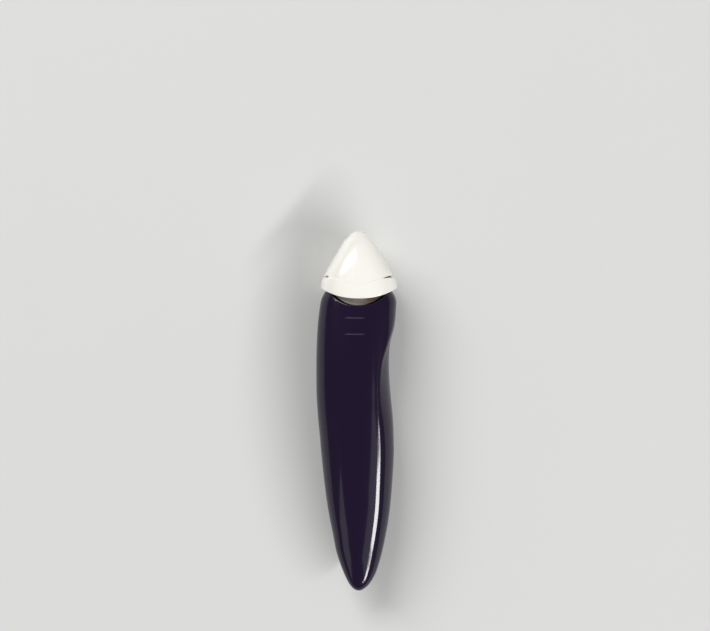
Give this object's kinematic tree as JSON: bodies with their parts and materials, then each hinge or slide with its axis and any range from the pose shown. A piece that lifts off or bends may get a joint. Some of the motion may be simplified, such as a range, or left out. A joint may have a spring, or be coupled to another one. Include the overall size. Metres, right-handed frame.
{
  "type": "chalk wheel marker",
  "caption": "Pen-shaped chalk wheel marker: sculpted dark violet handle with a finger scoop, white plug-in chalk nose with a toothed wheel, ivory push-on cap.",
  "frame": {"origin": "middle of the overall box seen from above, at the height of the resting land on the back", "axes": "+Y from the tail to the wheel along the handle, +Z out of the front face, +X to the right seen on the front face"},
  "size_m": [0.0241, 0.1076, 0.0196],
  "materials": {
    "handle_plastic": "dark violet moulded plastic, high gloss",
    "sleeve_plastic": "natural grey moulded plastic",
    "nose_plastic": "white moulded plastic, satin gloss",
    "fork_plastic": "white moulded plastic",
    "axle_steel": "ground steel pin",
    "wheel_steel": "stamped and plated steel",
    "container_plastic": "translucent natural plastic",
    "plug_rubber": "soft grey rubber",
    "chalk": "loose white chalk powder",
    "cap_plastic": "ivory moulded plastic, glossy"
  },
  "bodies": {
    "handle": {"front_shell": "handle_plastic", "back_shell": "handle_plastic", "cartridge_sleeve": "sleeve_plastic"},
    "cartridge": {"nose": "nose_plastic", "wheel_fork": "fork_plastic", "wheel_axle": "axle_steel", "chalk_container": "container_plastic", "container_plug": "plug_rubber", "chalk_powder": "chalk"},
    "wheel": {"toothed_wheel": "wheel_steel"},
    "cap": {"protective_cap": "cap_plastic"}
  },
  "joints": [
    {"name": "cartridge_slide", "type": "slide", "parent": "handle", "child": "cartridge", "axis": [0, 1, 0], "range_m": [0, 0.04]},
    {"name": "wheel_spin", "type": "hinge", "parent": "cartridge", "child": "wheel", "pos_m": [0.0004, 0.0427, 0.0098], "axis": [1, 0, 0], "continuous": true},
    {"name": "cap_pull", "type": "slide", "parent": "cartridge", "child": "cap", "axis": [0, 1, 0], "range_m": [0, 0.024]}
  ]
}
